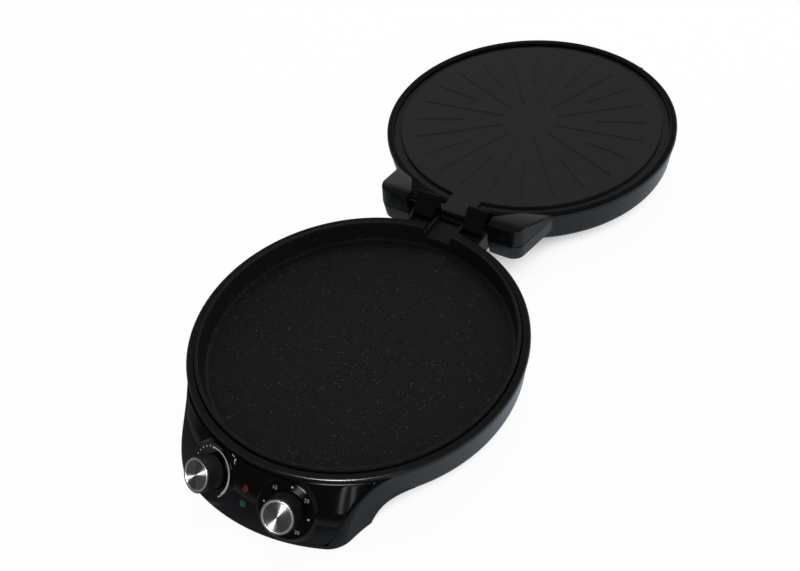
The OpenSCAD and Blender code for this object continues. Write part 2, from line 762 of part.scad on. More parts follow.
module upper_plate() color([0.14, 0.14, 0.15]) at_lid() difference() {
    union() {
        rotate_extrude() polygon(rounded(
            [
                [0, -lid_plate_top], [plate_r, -lid_plate_top], [plate_r, -channel_depth],
                [frame_in_r - gap, -channel_depth], [frame_in_r - gap, -channel_under],
                [plate_r - 4, -channel_under], [plate_r - 7, -plate_under], [0, -plate_under]
            ],
            [0, 1.5, 0, 0, 0, 0, 0, 0]
        ));
        translate([-tongue_w / 2, plate_r - 10, -plate_under])
            cube([tongue_w, hinge_y - 6.5 - plate_r + 10, plate_t]);
        for (i = [0:ridge_count - 1]) rotate([0, 0, (i + 0.5) * 360 / ridge_count])
            ridge(i % 2 == 0 ? 0.22 * plate_r : 0.5 * plate_r, 0.88 * plate_r);
    }
    each_angle(plate_screw_at) translate([0, -plate_screw_ring, -channel_under - 1])
        cylinder(r = small_screw_r + fit_gap, h = 4.2);
}

module upper_element() color([0.45, 0.43, 0.4]) at_lid() element_ring(-plate_under);

module upper_reflector() color([0.7, 0.7, 0.72]) at_lid() element_dish(-plate_under);

// Grip of the handle, in line with the rim, carried on two arms
module lid_handle() color([0.08, 0.08, 0.09]) at_lid() difference() {
    union() {
        rotate([0, 0, -90 - grip_angle]) rotate_extrude(angle = 2 * grip_angle)
            polygon(rounded(
                [
                    [grip_in, -rim_z], [grip_in, -rim_z + grip_h],
                    [grip_out, -rim_z + grip_h], [grip_out, -rim_z]
                ],
                [5, 6, 6, 5]
            ));
        both_sides() along_x(arm_x, arm_w) polygon(rounded(
            [
                [-pad_y, -12], [-pad_y, -36], [-grip_in + 6, -rim_z + 1],
                [-grip_in - grip_t / 2, -rim_z + 1], [-grip_in - grip_t / 2, -rim_z + grip_h - 1],
                [-grip_in + 4, -rim_z + grip_h + 6]
            ],
            [0, 0, 6, 0, 0, 10]
        ));
    }
    rotate_extrude() polygon(concat(
        [[0, 10], [wall_top_r + gap, 10]],
        [for (p = housing_outline(lid_depth, lid_shoulder, lid_crown, -gap)) if (p.x > 0) p],
        [[0, -lid_depth - gap]]
    ));
    both_sides() translate([arm_x + arm_w / 2, -pad_y + 1, handle_screw_z]) rotate([90, 0, 0])
        cylinder(r = screw_r + fit_gap, h = 24);
}

module handle_screws() color([0.6, 0.6, 0.62]) at_lid() both_sides()
    translate([arm_x + arm_w / 2, -pad_y, handle_screw_z]) rotate([90, 0, 0]) screw(screw_r, 22);

module hinge_pins() color([0.7, 0.7, 0.72]) at_hinge() translate([0, 0, axis_h]) both_sides()
    rod_x(pin_d / 2, pin_from, lug_out - 2);

module lug_screws() color([0.6, 0.6, 0.62]) at_hinge() both_sides()
    translate([lug_screw.x, lug_screw.y, -lug_depth + 5]) screw(screw_r, lug_depth - 5);

module plate_screws() color([0.6, 0.6, 0.62]) at_lid() each_angle(plate_screw_at)
    translate([0, -plate_screw_ring, -channel_under - 2.5]) screw(small_screw_r, 5.5, 2.8, 1.6);

// Knob body, drawn on its dial
module knob() difference() {
    rotate_extrude() polygon(rounded(
        [
            [0, knob_lift], [knob_r, knob_lift], [knob_r - 0.6, knob_h - 0.6],
            [cap_r, knob_h - 0.6], [cap_r, knob_h - cap_t], [0, knob_h - cap_t]
        ],
        [0, 0.8, 0.5, 0, 0, 0]
    ));
    translate([0, 0, -1]) cylinder(d = shaft_d + 2 * fit_gap, h = knob_bore_top + 1);
}

// Metal cap let into the top of a knob
module knob_cap() rotate_extrude() polygon([
    [0, knob_h - cap_t], [cap_r - 0.1, knob_h - cap_t], [cap_r - 0.1, knob_h - 0.3],
    [cap_r - 0.5, knob_h], [cap_r - 2.2, knob_h], [cap_r - 2.6, knob_h - 0.4], [0, knob_h - 0.4]
]);

module control_shaft() translate([0, 0, mount_back - shaft_in + 0.2])
    cylinder(d = shaft_d, h = knob_bore_top - mount_back + shaft_in - 0.4);

module temperature_knob() color([0.08, 0.08, 0.08]) at_base() at_thermostat() knob();

module temperature_cap() color([0.75, 0.76, 0.78]) at_base() at_thermostat() knob_cap();

module thermostat_shaft() color([0.7, 0.7, 0.6]) at_base() at_thermostat() control_shaft();

module timer_knob() color([0.08, 0.08, 0.08]) at_base() at_timer() knob();

module timer_cap() color([0.75, 0.76, 0.78]) at_base() at_timer() knob_cap();

module timer_shaft() color([0.7, 0.7, 0.6]) at_base() at_timer() control_shaft();

base_shell();
base_frame();
base_cover();
lower_plate();
lower_element();
lower_reflector();
control_panel();
timer_mechanism();
thermostat();
red_lens();
green_lens();
indicator_bulbs();
terminal_block();
thermal_fuse();
cord_gland();
front_feet();
rear_feet();
cover_screws();
pan_screws();
lid_shell();
lid_frame();
upper_plate();
upper_element();
upper_reflector();
lid_handle();
hinge_pins();
handle_screws();
lug_screws();
plate_screws();
temperature_knob();
temperature_cap();
thermostat_shaft();
timer_knob();
timer_cap();
timer_shaft();
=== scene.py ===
# %% [markdown]
# # An electric pizza maker, lying open
# The cooker is a deep round pan in a black moulded tub, with a console of two dials and two lamps
# at its front, and a heated lid that has been turned over behind it. The rigid pieces come from a
# CAD model, in metres, and this lesson gives them their finishes. It makes in mesh code what the
# CAD pieces leave out: the spun metal caps, the print on the dials and the smooth skins of the
# mouldings.

import json
import math

import bpy
import numpy as np
from mathutils import Matrix, Vector


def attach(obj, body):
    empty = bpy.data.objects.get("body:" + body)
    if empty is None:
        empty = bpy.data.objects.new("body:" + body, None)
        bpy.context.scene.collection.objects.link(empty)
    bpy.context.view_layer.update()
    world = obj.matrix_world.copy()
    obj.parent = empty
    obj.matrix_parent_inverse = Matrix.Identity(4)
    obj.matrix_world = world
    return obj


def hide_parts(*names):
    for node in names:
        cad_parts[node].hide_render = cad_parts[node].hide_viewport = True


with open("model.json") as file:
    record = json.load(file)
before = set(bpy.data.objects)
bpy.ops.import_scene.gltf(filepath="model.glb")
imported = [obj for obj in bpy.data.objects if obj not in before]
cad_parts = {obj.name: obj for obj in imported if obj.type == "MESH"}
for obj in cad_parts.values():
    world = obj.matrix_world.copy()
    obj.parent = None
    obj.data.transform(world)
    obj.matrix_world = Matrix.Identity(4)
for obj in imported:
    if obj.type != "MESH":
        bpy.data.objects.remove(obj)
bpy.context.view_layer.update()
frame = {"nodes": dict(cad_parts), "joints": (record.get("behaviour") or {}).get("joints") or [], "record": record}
nodes = frame["nodes"]
joints = {j["name"]: j for j in frame["joints"]}
MM = 0.001

# %% [markdown]
# The camera stands to the right of the console and looks down at the open pan. Its place was
# worked out from the ellipses that the two round rims make in the picture, so they fall where the
# picture has them. A lens of about 46 mm on a full frame gives the mild perspective.

# %% Camera
EYE = Vector((442.6 * MM, -683.25 * MM, 798.46 * MM))
YAW, ELEVATION, ROLL = (math.radians(a) for a in (-37.47, 45.76, -8.10))


def camera_axes(yaw, elevation, roll):
    """Right, up and back of the camera: it looks along yaw, down by elevation, then rolls."""
    ahead = Vector((
        math.cos(elevation) * math.sin(yaw), math.cos(elevation) * math.cos(yaw), -math.sin(elevation)
    ))
    level = ahead.cross(Vector((0, 0, 1))).normalized()
    up = level.cross(ahead)
    right = math.cos(roll) * level + math.sin(roll) * up
    return right, math.cos(roll) * up - math.sin(roll) * level, -ahead


lens = bpy.data.cameras.new("camera")
lens.lens, lens.sensor_width, lens.sensor_fit = 46.33, 36, "HORIZONTAL"
lens.clip_start, lens.clip_end = 0.05, 60
camera = bpy.data.objects.new("camera", lens)
turned = Matrix(camera_axes(YAW, ELEVATION, ROLL)).transposed().to_4x4()
camera.matrix_world = Matrix.Translation(EYE) @ turned
bpy.context.scene.collection.objects.link(camera)
bpy.context.scene.camera = camera
print("camera", [round(c, 3) for c in camera.location])

# %% [markdown]
# A material is a small graph of nodes. Colours are written the way a paint chart gives them, as
# sRGB hex values, and one function turns them to the linear light that the shader works in.
# Patterns read Object coordinates, which are metres here, so their scale comes straight from a
# real size: a cell of 1 mm is a scale of 1000.

# %% Colours and nodes


def linear(code):
    """Linear RGBA of an sRGB hex colour: c / 12.92 below 0.04045, else ((c + 0.055) / 1.055) ** 2.4."""
    c = np.array([int(code[i:i + 2], 16) for i in (1, 3, 5)]) / 255
    c = np.where(c <= 0.04045, c / 12.92, ((c + 0.055) / 1.055) ** 2.4)
    return (*c.tolist(), 1.0)


def per_mm(size):
    """Texture scale at which a pattern repeats about every size millimetres."""
    return 1 / (size * MM)


def material(name):
    """A new material and its empty node tree."""
    made = bpy.data.materials.new(name)
    made.use_nodes = True
    made.node_tree.nodes.clear()
    return made, made.node_tree


def add(tree, kind, inputs=None, **settings):
    """One node: settings are its properties, inputs its sockets, by name or by place.

    An input is a value, an output of a node, or a node, which stands for its first output in use.
    """
    made = tree.nodes.new("ShaderNode" + kind)
    for name, value in settings.items():
        setattr(made, name, value)
    for key, value in (inputs or {}).items():
        if isinstance(value, bpy.types.Node):
            value = next(o for o in value.outputs if o.enabled)
        if isinstance(value, bpy.types.NodeSocket):
            tree.links.new(value, made.inputs[key])
        else:
            made.inputs[key].default_value = value
    return made


print("mid grey in linear light", round(linear("#808080")[0], 3))

# %% [markdown]
# The housings are injection moulded in ABS against a polished tool. The colour goes right through,
# the surface is hard and smooth with an IOR of about 1.5, and only a faint waviness and the marks
# of handling break up its reflections. The ring frames come from a tool with a satin finish, and
# the panel from one polished to a high gloss.

# %% Moulded ABS


def moulded(name, code, patch, low, high, wave, depth, strength):
    """Moulded ABS: its roughness drifts from low to high over patches, and its face waves faintly.

    Patch and wave are sizes and depth is a height, all in millimetres.
    """
    made, tree = material(name)
    place = add(tree, "TexCoord").outputs["Object"]
    drift = add(tree, "TexNoise", {
        "Vector": place, "Scale": per_mm(patch), "Detail": 3.0, "Roughness": 0.55
    })
    waves = add(tree, "TexNoise", {
        "Vector": place, "Scale": per_mm(wave), "Detail": 2.0, "Roughness": 0.55
    })
    # most values of a noise lie in the middle of its span
    rough = add(tree, "MapRange", {
        "Value": drift, "From Min": 0.35, "From Max": 0.7, "To Min": low, "To Max": high
    })
    bump = add(tree, "Bump", {"Height": waves, "Strength": strength, "Distance": depth * MM})
    shader = add(tree, "BsdfPrincipled", {
        "Base Color": linear(code), "IOR": 1.5, "Roughness": rough, "Normal": bump
    })
    add(tree, "OutputMaterial", {"Surface": shader})
    return made


polished_abs = moulded("polished black ABS", "#08080a", 25, 0.09, 0.16, 14, 0.02, 0.5)
satin_abs = moulded("satin black ABS", "#0b0b0c", 18, 0.2, 0.28, 0.6, 0.01, 0.6)
panel_abs = moulded("high-gloss black ABS", "#060607", 30, 0.05, 0.1, 20, 0.02, 0.4)
print("mouldings", [m.name for m in (polished_abs, satin_abs, panel_abs)])

# %% [markdown]
# The pan and the lid's plate are cast aluminium under a sprayed non-stick coat. Sprayed PTFE dries
# to a fine pebbled film with a dull sheen, in which small pale flecks of filler show.

# %% Non-stick coat


def coated(name, dark, light, fleck, gloss):
    """Sprayed non-stick coat: a pebbled film with pale flecks in loose clusters.

    A fleck is the middle of a cell of 2.4 mm, where a coarser noise is high enough.
    """
    made, tree = material(name)
    place = add(tree, "TexCoord").outputs["Object"]
    grain = add(tree, "TexNoise", {
        "Vector": place, "Scale": per_mm(1.6), "Detail": 4.0, "Roughness": 0.65
    })
    cells = add(tree, "TexVoronoi", {"Vector": place, "Scale": per_mm(2.4)})
    clusters = add(tree, "TexNoise", {
        "Vector": place, "Scale": per_mm(5), "Detail": 3.0, "Roughness": 0.55
    })
    middle = add(tree, "MapRange", {
        "Value": cells, "From Min": 0.06, "From Max": 0.22, "To Min": 1.0, "To Max": 0.0
    })
    chosen = add(tree, "MapRange", {"Value": clusters, "From Min": 0.5, "From Max": 0.62})
    flecks = add(tree, "Math", {0: middle, 1: chosen}, operation="MULTIPLY")
    share = add(tree, "MapRange", {"Value": grain, "From Min": 0.3, "From Max": 0.7})
    # sockets 6 and 7 of a Mix node are the ones for colours
    film = add(tree, "Mix", {"Factor": share, 6: linear(dark), 7: linear(light)}, data_type="RGBA")
    colour = add(tree, "Mix", {"Factor": flecks, 6: film, 7: linear(fleck)}, data_type="RGBA")
    rough = add(tree, "MapRange", {
        "Value": grain, "From Min": 0.3, "From Max": 0.7, "To Min": gloss - 0.06, "To Max": gloss + 0.08
    })
    bump = add(tree, "Bump", {"Height": grain, "Strength": 0.7, "Distance": 0.09 * MM})
    shader = add(tree, "BsdfPrincipled", {
        "Base Color": colour, "IOR": 1.4, "Roughness": rough, "Normal": bump
    })
    add(tree, "OutputMaterial", {"Surface": shader})
    return made


# the lid's copy of the coat is lighter than the pan's: partly the coat's own colour, partly a painted sheen for
# the light that the open plate catches and the deep pan doesn't
pan_coat = coated("non-stick coated aluminium, pan", "#151516", "#1b1b1c", "#686868", 0.44)
lid_coat_painted_sheen = coated("non-stick coated aluminium, lid", "#202021", "#282828", "#3a3a3a", 0.5)
print("coats", pan_coat.name, "and", lid_coat_painted_sheen.name)

# %% [markdown]
# The caps are spun aluminium. Its fine circles spread light across themselves, so the shader is
# stretched in the direction of turning, which it reads from a UV map. Their rim is cut with a
# diamond and shines like a mirror that has been breathed on.

# %% Spun and cut aluminium
spun, tree = material("spun aluminium")
turning = add(tree, "Tangent", direction_type="UV_MAP", uv_map="turned")
shader = add(tree, "BsdfPrincipled", {
    "Base Color": linear("#a5a2a1"), "Metallic": 1.0, "Roughness": 0.45,
    "Anisotropic": 1.0, "Anisotropic Rotation": 0.25, "Tangent": turning,
})
add(tree, "OutputMaterial", {"Surface": shader})

bright_rim, tree = material("diamond-cut aluminium")
place = add(tree, "TexCoord").outputs["Object"]
drift = add(tree, "TexNoise", {
    "Vector": place, "Scale": per_mm(3), "Detail": 3.0, "Roughness": 0.55
})
rough = add(tree, "MapRange", {"Value": drift, "To Min": 0.24, "To Max": 0.34})
shader = add(tree, "BsdfPrincipled", {
    "Base Color": linear("#e4e5e6"), "Metallic": 1.0, "Roughness": rough
})
add(tree, "OutputMaterial", {"Surface": shader})
print("caps in", spun.name, "and", bright_rim.name)

# %% [markdown]
# The remaining finishes have a grain of their own: turned and plated steel, sheet metal, rubber,
# ceramic and small plastic parts. Colour and roughness drift together with that grain, as they do
# where a surface is worn or unevenly plated. The two lenses are clear plastic, tinted right
# through, with small prisms moulded inside to spread the bulb's light.

# %% Metals and small parts


def grained(name, dark, light, low, high, size, depth, detail=3.0, strength=0.7, **values):
    """A finish that drifts between two colours and roughnesses with a grain.

    The grain's size and depth are in millimetres, and values are more sockets of the shader.
    """
    made, tree = material(name)
    place = add(tree, "TexCoord").outputs["Object"]
    grain = add(tree, "TexNoise", {
        "Vector": place, "Scale": per_mm(size), "Detail": detail, "Roughness": 0.55
    })
    share = add(tree, "MapRange", {"Value": grain, "From Min": 0.3, "From Max": 0.7})
    colour = add(tree, "Mix", {"Factor": share, 6: linear(dark), 7: linear(light)}, data_type="RGBA")
    rough = add(tree, "MapRange", {
        "Value": grain, "From Min": 0.3, "From Max": 0.7, "To Min": low, "To Max": high
    })
    bump = add(tree, "Bump", {"Height": grain, "Strength": strength, "Distance": depth * MM})
    shader = add(tree, "BsdfPrincipled", {
        "Base Color": colour, "Roughness": rough, "Normal": bump, **values
    })
    add(tree, "OutputMaterial", {"Surface": shader})
    return made


METAL = {"depth": 0.01, "detail": 4.0, "strength": 0.5, "Metallic": 1.0}
zinc_steel = grained("zinc-plated steel", "#8f9296", "#b4b7ba", 0.25, 0.4, 2, **METAL)
zinc_sheet = grained("galvanised sheet steel", "#84888b", "#a3a7a9", 0.35, 0.5, 9, **METAL)
bright_sheet = grained("aluminised sheet", "#a9abad", "#c6c8c9", 0.22, 0.36, 6, **METAL)
heater_steel = grained("oxidised heater sheath", "#4c4640", "#6d655c", 0.45, 0.6, 4, **METAL)
dark_steel = grained("black-oxide steel", "#232426", "#303134", 0.35, 0.5, 2, **METAL)
brass = grained("turned brass", "#a88d54", "#c9ad6c", 0.25, 0.35, 2, **METAL)
knob_abs = grained("smooth black ABS", "#0a0a0b", "#0e0e0f", 0.3, 0.38, 12, 0.01, IOR=1.5)
rubber = grained("natural rubber", "#161616", "#1e1e1e", 0.7, 0.85, 0.8, 0.05, IOR=1.52)
ceramic = grained("steatite ceramic", "#cfcabf", "#dfdbd1", 0.4, 0.55, 1.2, 0.02, IOR=1.6)
phenolic = grained("moulded phenolic", "#8d8474", "#a09784", 0.35, 0.5, 2, 0.02, IOR=1.58)
nylon = grained("black nylon", "#131313", "#1a1a1a", 0.4, 0.5, 1, 0.02, IOR=1.53)
white_ink = grained("white pad-printing ink", "#c6c6c3", "#d2d2cf", 0.45, 0.55, 0.8, 0.005, IOR=1.5)


def tinted(name, code):
    """Tinted clear polycarbonate, IOR 1.58: part of the light goes through, prisms break it up."""
    made, tree = material(name)
    place = add(tree, "TexCoord").outputs["Object"]
    drift = add(tree, "TexNoise", {
        "Vector": place, "Scale": per_mm(2), "Detail": 3.0, "Roughness": 0.55
    })
    rough = add(tree, "MapRange", {"Value": drift, "To Min": 0.08, "To Max": 0.16})
    prisms = add(tree, "TexVoronoi", {"Vector": place, "Scale": per_mm(1.5)})
    bump = add(tree, "Bump", {"Height": prisms, "Strength": 0.8, "Distance": 0.3 * MM})
    shader = add(tree, "BsdfPrincipled", {
        "Base Color": linear(code), "IOR": 1.58, "Roughness": rough, "Normal": bump,
        "Transmission Weight": 0.35, "Coat Weight": 0.3, "Coat Roughness": 0.03,
    })
    add(tree, "OutputMaterial", {"Surface": shader})
    return made


red_clear = tinted("red polycarbonate", "#7d1820")
green_clear = tinted("green polycarbonate", "#1b6a56")
bulb_glass = tinted("clear glass", "#d9d2c2")

# %% Which piece has which finish
FINISHES = {
    polished_abs: ("base_shell", "lid_shell", "lid_handle"),
    satin_abs: ("base_frame", "lid_frame"),
    panel_abs: ("control_panel",),
    pan_coat: ("lower_plate",),
    lid_coat_painted_sheen: ("upper_plate",),
    heater_steel: ("lower_element", "upper_element"),
    dark_steel: ("hinge_pins",),
    bright_sheet: ("lower_reflector", "upper_reflector"),
    zinc_sheet: ("base_cover",),
    zinc_steel: ("cover_screws", "pan_screws", "handle_screws", "lug_screws", "plate_screws"),
    brass: ("thermostat_shaft", "timer_shaft"),
    knob_abs: ("temperature_knob", "timer_knob"),
    spun: ("temperature_cap", "timer_cap"),
    red_clear: ("red_lens",),
    green_clear: ("green_lens",),
    bulb_glass: ("indicator_bulbs",),
    phenolic: ("timer_mechanism", "thermostat"),
    ceramic: ("terminal_block", "thermal_fuse"),
    nylon: ("cord_gland",),
    rubber: ("front_feet", "rear_feet"),
}
for finish, names in FINISHES.items():
    for name in names:
        nodes[name].data.materials.clear()
        nodes[name].data.materials.append(finish)
bare = set(nodes) - {n for names in FINISHES.values() for n in names}
print("pieces with a finish", len(nodes) - len(bare), "without", sorted(bare))

# %% [markdown]
# Each dial has its own flat plane, square to the shaft of its knob. Everything printed on it is
# placed by a clock angle, counted clockwise from the direction straight up the slope, and a
# radius. The plane comes from the joint that turns the knob.

# %% Dial planes


def dial_plane(joint):
    """Matrix of a dial: Z out of it along the shaft, Y up the slope, X to the right."""
    out = -Vector(joint["axis"]).normalized()
    right = Vector((0, 0, 1)).cross(out).normalized()
    up = out.cross(right)
    return Matrix.Translation(Vector(joint["pos_m"])) @ Matrix((right, up, out)).transposed().to_4x4()


TIMER = dial_plane(joints["timer_turn"])
THERMOSTAT = dial_plane(joints["temperature_turn"])


def clock(angle, radius):
    """Point on a dial at a clock angle in degrees and a radius in millimetres."""
    a = np.radians(angle)
    return np.stack([radius * np.sin(a), radius * np.cos(a)], -1) * MM


print("timer dial at", [round(c, 4) for c in TIMER.translation])

# %% [markdown]
# Every new piece is a grid of points. Its mesh is filled in one step from whole arrays, with
# quads between neighbouring rows and columns.

# %% Grids to meshes


def mesh_piece(name, points, faces, finish, body, slot=None, smooth=True):
    """An object at the origin whose mesh has these points and faces, and the body it moves with."""
    mesh = bpy.data.meshes.new(name)
    mesh.from_pydata(points.reshape(-1, 3).tolist(), [], [list(map(int, f)) for f in faces])
    mesh.validate()
    mesh.polygons.foreach_set("use_smooth", [smooth] * len(mesh.polygons))
    mesh.materials.append(finish)
    made = bpy.data.objects.new(name, mesh)
    bpy.context.scene.collection.objects.link(made)
    if body:
        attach(made, body)
    return made


def grid_quads(rows, columns, closed=True):
    """Quads between the points of a grid whose rows are loops if closed."""
    steps = columns if closed else columns - 1
    row, column = np.meshgrid(np.arange(rows - 1), np.arange(steps), indexing="ij")
    here, beside = row * columns + column, row * columns + (column + 1) % columns
    return np.stack([here, beside, beside + columns, here + columns], -1).reshape(-1, 4)


def joined(parts):
    """Several point and face lists as one."""
    points, faces, start = [], [], 0
    for p, f in parts:
        points.append(p)
        faces += [[i + start for i in face] for face in f]
        start += len(p)
    return np.vstack(points), faces


def placed(points, matrix):
    """Points in a local frame, carried to the shared frame."""
    m = np.array(matrix)
    return points @ m[:3, :3].T + m[:3, 3]


# %% [markdown]
# model.glb holds each CAD piece as loose triangles. Where a moulding has soft edges, its copy is
# merged into one surface here, so that the light rolls over them: an edge that turns by more than
# a given angle stays crisp, and every other one is rounded by the shading.

# %% Merged copies of the mouldings


def weld(points, near):
    """The points with those closer than near as one, and each old point's place among them."""
    _, first, owner = np.unique(
        np.round(points / near).astype(np.int64), axis=0, return_index=True, return_inverse=True
    )
    return points[first], owner.ravel()


def merged(name):
    """Points in metres and triangles of a CAD node, with corners closer than 0.01 mm as one."""
    mesh = nodes[name].data
    points = np.empty(len(mesh.vertices) * 3, np.float32)
    mesh.vertices.foreach_get("co", points)
    corners = np.empty(len(mesh.loops), np.int32)
    mesh.loops.foreach_get("vertex_index", corners)
    points, owner = weld(points.reshape(-1, 3).astype(float), 0.01 * MM)
    faces = owner[corners].reshape(-1, 3)
    return points, faces[(faces != np.roll(faces, -1, 1)).all(1)]


def shaded(made, degrees):
    """Crisp edges where the surface turns by more than that, and flats that stay flat."""
    made.data.set_sharp_from_angle(angle=math.radians(degrees))
    level = made.modifiers.new("weighted", "WEIGHTED_NORMAL")
    level.keep_sharp = True
    return made


BODY_OF = {n: b for b, names in frame["record"]["behaviour"]["bodies"].items() for n in names}


def soft_copy(name, degrees):
    """A merged copy of a CAD node that stands for it."""
    finish = nodes[name].data.materials[0]
    made = mesh_piece(name + "_skin", *merged(name), finish, BODY_OF[name])
    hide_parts(name)
    return shaded(made, degrees)


# facets of the rounded edges turn by less than this, real corners by more
CRISP = 33
copies = [soft_copy(name, CRISP) for name in ("lid_shell", "lid_frame", "lid_handle")]
print("soft copies", [(c.name, len(c.data.polygons)) for c in copies])

# %% [markdown]
# The console grows out of the round tub. Seen from above, each side is a hollow arc that runs from
# the front corner and meets the tub's wall without a kink, and the corner between side and face is
# a rounded edge that gets wider towards the table. Under each side the moulding is cut away in an
# arch. A toolmaker would draw it as sections stacked over one another, and so does this cell: for
# every height it works out the side's circle, the rounded corner and the front circle.

# %% The console as stacked sections
# Millimetres from here on: the origin is the middle of the rim's plane, and BASE_Y and TABLE
# carry it to the shared frame.
BASE_Y, TABLE, RIM_R = -184.5, 58.0, 167.0
# the tub: top and bottom of its wall, how much that leans in, and its rounded lower edge
WALL_TOP, WALL_LOW, LEAN = -5.0, -32.0, 4.0
EDGE_OUT, EDGE_DOWN = 20.0, 16.0
# the face: a circle in radius and height, through these two points
FACE_R, FACE_TOP, FACE_LOW = 100.0, np.array([167.4, -3.0]), np.array([201.7, -54.0])
chord = FACE_LOW - FACE_TOP
chord_length = np.linalg.norm(chord)
across = np.array([chord[1], -chord[0]]) / chord_length
FACE_C = (FACE_TOP + FACE_LOW) / 2 + math.sqrt(FACE_R**2 - chord_length**2 / 4) * across
# the side: a point of its circle at the front corner, and the direction to the circle's middle
SIDE_A = np.array([93.4, -math.sqrt(FACE_LOW[0] ** 2 - 93.4**2)])
SIDE_N = np.array([math.cos(math.radians(5.8)), -math.sin(math.radians(5.8))])
SINK = 0.4
# the border beside the panel at the top, and what it gains towards the table
BORDER, FLARE = 3.0, 10.0
# the arch: its circle in y and height, and the depth at which it levels out
ARCH_R, ARCH_Y, ARCH_Z, ARCH_TOP = 51.0, -100.6, -83.5, 37.4
# the console's foot: its height, its rounding and the radius of its inner edge
FOOT, SOFT, INNER_R = -56.0, 1.0, 145.0
# the tub's floor, and the pocket that holds the panel: its lower end and its depth
TUB_FLOOR = -47.0
PANEL_LOW, POCKET = -51.3, 2.6
# columns of half a section: inside the wall, side, rounded corner, pocket's edge, face
HALF_COLUMNS = (1, 90, 14, 1, 40)


def wall_radius(z):
    """Radius in millimetres of the tub's leaning wall at a height z below the rim."""
    return RIM_R - 0.5 - LEAN * np.clip((WALL_TOP - z) / (WALL_TOP - WALL_LOW), 0, 1)


def tub_radius(z):
    """Radius of the tub with its rounded lower edge, a quarter of an ellipse."""
    s = np.clip((WALL_LOW - z) / EDGE_DOWN, 0, 1)
    edge = wall_radius(WALL_LOW) - EDGE_OUT * (1 - np.sqrt(1 - s**2))
    return np.where(z > WALL_LOW, wall_radius(z), edge)


def face_radius(z, depth):
    """Radius of the console's face at height z, depth millimetres inside it."""
    return FACE_C[0] + np.sqrt((FACE_R - depth) ** 2 - (z - FACE_C[1]) ** 2)


def edge_width(z):
    """Width of the shell's border beside the panel: it grows with the cube of the way down."""
    return BORDER + FLARE * np.clip((WALL_TOP - z) / (WALL_TOP - FACE_LOW[1]), 0, 1) ** 3


def side_circle(z):
    """Centre and radius of the hollow side at z: through SIDE_A, and touching the wall's circle.

    |A + R n| = t + R gives R = (A.A - t^2) / (2 (t - A.n)).
    """
    t = wall_radius(z) - SINK
    radius = (SIDE_A @ SIDE_A - t**2) / 2 / (t - SIDE_A @ SIDE_N)
    return SIDE_A + radius[..., None] * SIDE_N, radius


def meet(r, centre, s):
    """The front one of the two points at a distance r from the origin and s from the centre."""
    d = np.linalg.norm(centre, axis=-1)
    u = centre / d[..., None]
    a = (r**2 + d**2 - s**2) / 2 / d
    return a[..., None] * u + np.sqrt(r**2 - a**2)[..., None] * np.stack([u[..., 1], -u[..., 0]], -1)


def panel_edge(z):
    """Where the panel ends at height z: on the face, 0.3 mm inside the border."""
    centre, radius = side_circle(z)
    return meet(face_radius(z, 0.0), centre, radius + edge_width(z) + 0.3)


def around(centre, radius, start, end, share):
    """Points on an arc from the angle start to end, at shares from 0 to 1 of the way."""
    a = start + (end - start) * share
    return centre + radius[..., None] * np.stack([np.cos(a), np.sin(a)], -1)


def section(z):
    """Right half of the section at heights z, one per column: points and outward directions in plan.

    The rounded corner has its middle m on the line from the origin to its front end f, and the
    same distance k from the face's circle and from the side's.
    """
    first, side_n, corner_n, pocket_n, front_n = HALF_COLUMNS
    centre, radius = side_circle(z)
    r = face_radius(z, 0.5)
    f = meet(r, centre, radius + edge_width(z))
    k = ((radius + edge_width(z)) ** 2 - radius**2) / 2 / (r + radius - np.sum(f * centre, -1) / r)
    m = f * ((r - k) / r)[:, None]
    to_m = m - centre
    a_side = np.arctan2(to_m[:, 1], to_m[:, 0])
    a_wall = np.arctan2(-centre[:, 1], -centre[:, 0])
    a_f = np.arctan2(f[:, 1], f[:, 0])
    columns = first + side_n + corner_n + pocket_n + front_n
    share = np.zeros(columns)
    share[first:first + side_n] = np.linspace(0, 1, side_n)
    share[first + side_n:first + side_n + corner_n] = np.linspace(0, 1, corner_n + 1)[1:]
    share[first + side_n + corner_n + pocket_n:] = np.linspace(0, 1, front_n)
    side = around(centre, radius, a_wall, a_side, share)
    corner = around(m, k, np.arctan2(-to_m[:, 1], -to_m[:, 0]), a_f, share)
    front = around(np.zeros_like(m), r, a_f, -math.pi / 2, share)
    inside = centre / np.linalg.norm(centre, axis=-1)[:, None] * (wall_radius(z) - 1)[:, None]
    number = np.arange(columns)[:, None]
    in_wall, on_side = number < first, number < first + side_n
    on_corner = number < first + side_n + corner_n
    points = np.select([in_wall, on_side, on_corner], [inside, side, corner], front)
    out = np.select([on_side, on_corner], [centre - side, corner - m], front)
    return points, out / np.linalg.norm(out, axis=-1)[:, None]


def smooth_max(a, b, width):
    """Larger of a and b, with the corner between them rounded over that width."""
    h = np.clip(0.5 + (a - b) / (2 * width), 0, 1)
    return b + (a - b) * h + width * h * (1 - h)


def foot_height(y):
    """Height of the console's lower edge at y: flat, then an arch that levels out at the tub."""
    inside = np.clip(ARCH_R**2 - (y - ARCH_Y) ** 2, 0, None)
    return np.maximum(FOOT, -smooth_max(-ARCH_Z - np.sqrt(inside), ARCH_TOP, 8))


